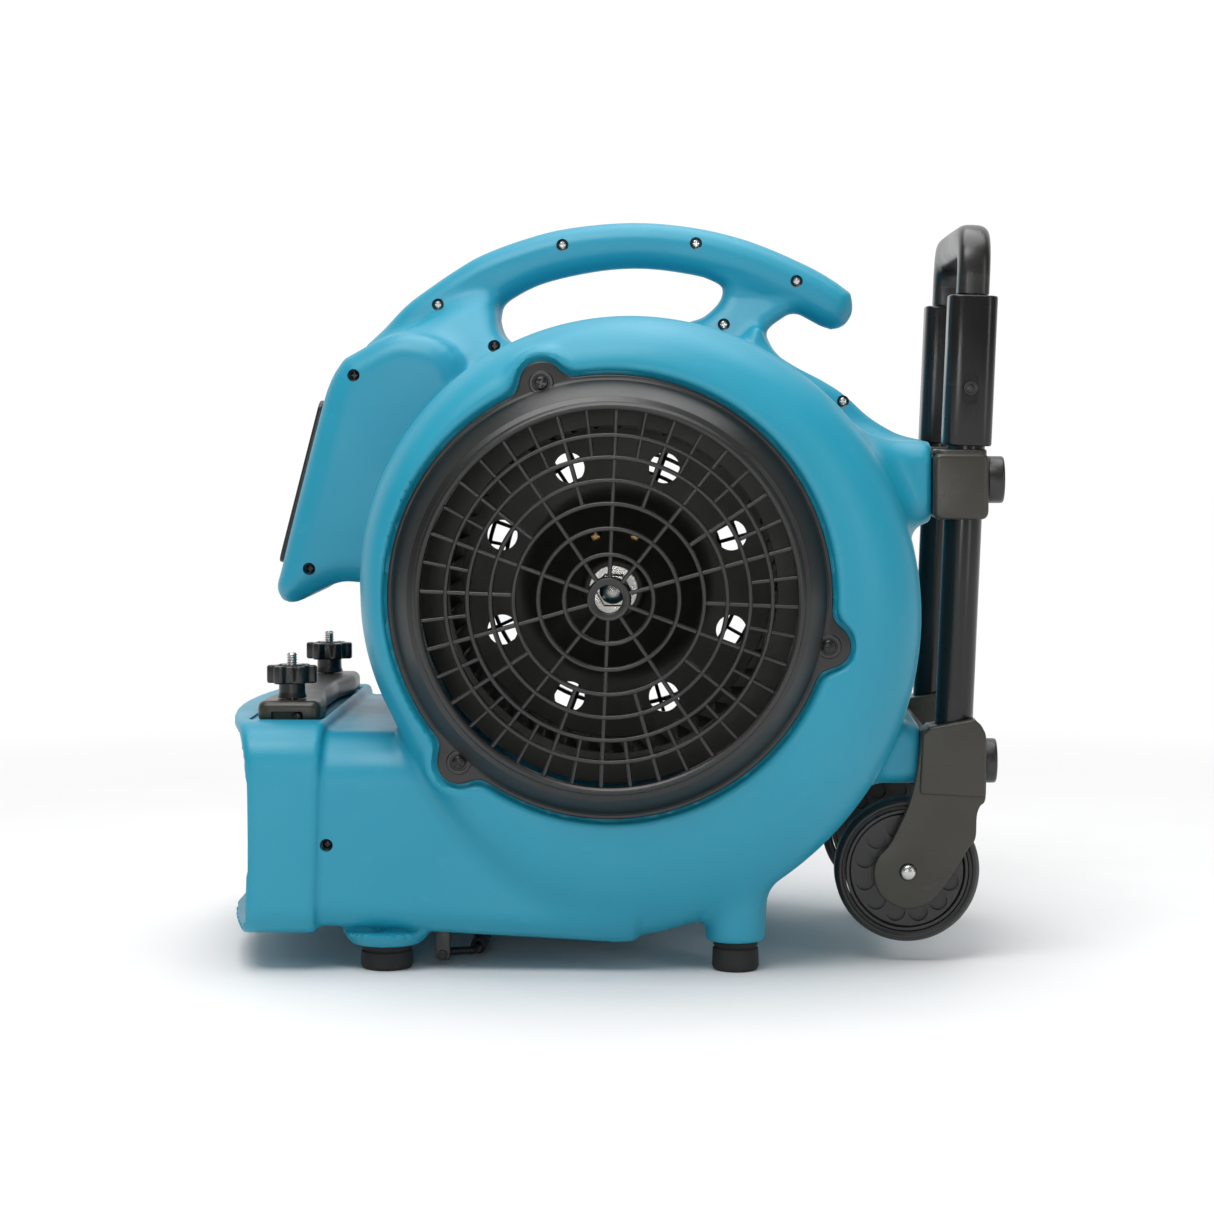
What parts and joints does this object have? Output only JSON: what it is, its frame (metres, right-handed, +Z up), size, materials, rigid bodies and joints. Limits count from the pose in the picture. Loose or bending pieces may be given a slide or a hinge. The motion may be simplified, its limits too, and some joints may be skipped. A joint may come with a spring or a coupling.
{
  "type": "centrifugal air mover",
  "caption": "Portable snail-shell blower with side inlet grilles, a low wide outlet with a carpet clamp, a carry handle, a telescopic pull handle and transport wheels.",
  "frame": {"origin": "on the floor, below the middle of the whole object's box", "axes": "+X from the outlet to the pull handle and wheels, +Y along the fan axis from the near inlet to the motor side, +Z up"},
  "size_m": [0.542, 0.406, 0.5165],
  "materials": {
    "shell_blue": "moulded polyethylene, fine grain, satin",
    "black_plastic": "moulded, fine grain, satin",
    "panel_black": "smooth satin",
    "rubber": "matt rubber",
    "tyre": "solid tyre, satin",
    "tube_black": "black anodised tube, satin",
    "kickstand_rod": "black enamelled steel rod",
    "steel": "zinc plated",
    "impeller_plastic": "moulded, satin",
    "motor_paint": "dull enamel",
    "aluminium": "drawn can"
  },
  "bodies": {
    "root": {"shell_near": "shell_blue", "shell_far": "shell_blue", "inlet_grille_near": "black_plastic", "inlet_grille_far": "black_plastic", "outlet_grille": "black_plastic", "cable_gland": "black_plastic", "kickstand_clip_near": "black_plastic", "kickstand_clip_far": "black_plastic", "upper_bracket": "black_plastic", "wheel_bracket": "black_plastic", "upper_cap_near": "black_plastic", "upper_cap_far": "black_plastic", "lower_cap_near": "black_plastic", "lower_cap_far": "black_plastic", "control_panel": "panel_black", "foot_front_near": "rubber", "foot_front_far": "rubber", "foot_rear_near": "rubber", "foot_rear_far": "rubber", "outer_tube_near": "tube_black", "outer_tube_far": "tube_black", "lock_sleeve_near": "tube_black", "lock_sleeve_far": "tube_black", "clamp_stud_near": "steel", "clamp_stud_far": "steel", "axle": "steel", "axle_cap_near": "steel", "axle_cap_far": "steel", "motor_body": "motor_paint", "motor_bell_near": "motor_paint", "motor_bell_far": "motor_paint", "motor_bracket": "motor_paint", "capacitor": "aluminium"},
    "impeller": {"impeller_disc": "impeller_plastic", "blade_cage_near": "impeller_plastic", "blade_cage_far": "impeller_plastic", "hub_washer": "steel", "shaft_nut": "steel", "motor_shaft": "steel"},
    "pull_handle": {"inner_tube_near": "tube_black", "inner_tube_far": "tube_black", "grip": "black_plastic"},
    "lock_button_near": {"lock_button_near": "black_plastic"},
    "lock_button_far": {"lock_button_far": "black_plastic"},
    "wheel_near": {"wheel_hub_near": "black_plastic", "tyre_near": "tyre"},
    "wheel_far": {"wheel_hub_far": "black_plastic", "tyre_far": "tyre"},
    "clamp": {"clamp_bar": "black_plastic"},
    "clamp_knob_near": {"clamp_knob_near": "black_plastic"},
    "clamp_knob_far": {"clamp_knob_far": "black_plastic"},
    "kickstand": {"kickstand_bail": "kickstand_rod", "kickstand_sleeve_near": "rubber", "kickstand_sleeve_far": "rubber"},
    "speed_knob": {"speed_knob": "black_plastic"},
    "breaker_button": {"breaker_button": "rubber"}
  },
  "joints": [
    {"name": "impeller_spin", "type": "hinge", "parent": "root", "child": "impeller", "pos_m": [0.002, 0, 0.257], "axis": [0, 1, 0], "continuous": true},
    {"name": "pull_handle_slide", "type": "slide", "parent": "root", "child": "pull_handle", "axis": [0.0366, 0, 0.9993], "range_m": [0, 0.235]},
    {"name": "lock_button_near_press", "type": "slide", "parent": "root", "child": "lock_button_near", "axis": [0, 1, 0], "range_m": [0, 0.002], "stiffness_N_per_m": 400, "springref_m": -0.002},
    {"name": "lock_button_far_press", "type": "slide", "parent": "root", "child": "lock_button_far", "axis": [0, -1, 0], "range_m": [0, 0.002], "stiffness_N_per_m": 400, "springref_m": -0.002},
    {"name": "wheel_near_spin", "type": "hinge", "parent": "root", "child": "wheel_near", "pos_m": [0.2058, -0.104, 0.0645], "axis": [0, 1, 0], "continuous": true},
    {"name": "wheel_far_spin", "type": "hinge", "parent": "root", "child": "wheel_far", "pos_m": [0.2058, 0.104, 0.0645], "axis": [0, 1, 0], "continuous": true},
    {"name": "clamp_lift", "type": "slide", "parent": "root", "child": "clamp", "axis": [0, 0, 1], "range_m": [0, 0.008]},
    {"name": "clamp_knob_near_turn", "type": "hinge", "parent": "clamp", "child": "clamp_knob_near", "pos_m": [-0.221, -0.105, 0.19], "axis": [0, 0, 1], "range_deg": [0, 1646]},
    {"name": "clamp_knob_far_turn", "type": "hinge", "parent": "clamp", "child": "clamp_knob_far", "pos_m": [-0.221, 0.105, 0.19], "axis": [0, 0, 1], "range_deg": [0, 1646]},
    {"name": "kickstand_fold", "type": "hinge", "parent": "root", "child": "kickstand", "pos_m": [-0.114, 0, 0.008], "axis": [0, 1, 0], "range_deg": [0, 95]},
    {"name": "speed_knob_turn", "type": "hinge", "parent": "root", "child": "speed_knob", "pos_m": [-0.22509, 0.008, 0.30198], "axis": [0.9674, 0, -0.2532], "range_deg": [0, 135]},
    {"name": "breaker_button_press", "type": "slide", "parent": "root", "child": "breaker_button", "axis": [0.9674, 0, -0.2532], "range_m": [0, 0.002], "stiffness_N_per_m": 400, "springref_m": -0.002}
  ],
  "couplings": [
    {"joint": "clamp_knob_near_turn", "follows": "clamp_lift", "rad_per_m": 3590.4},
    {"joint": "clamp_knob_far_turn", "follows": "clamp_lift", "rad_per_m": 3590.4}
  ]
}
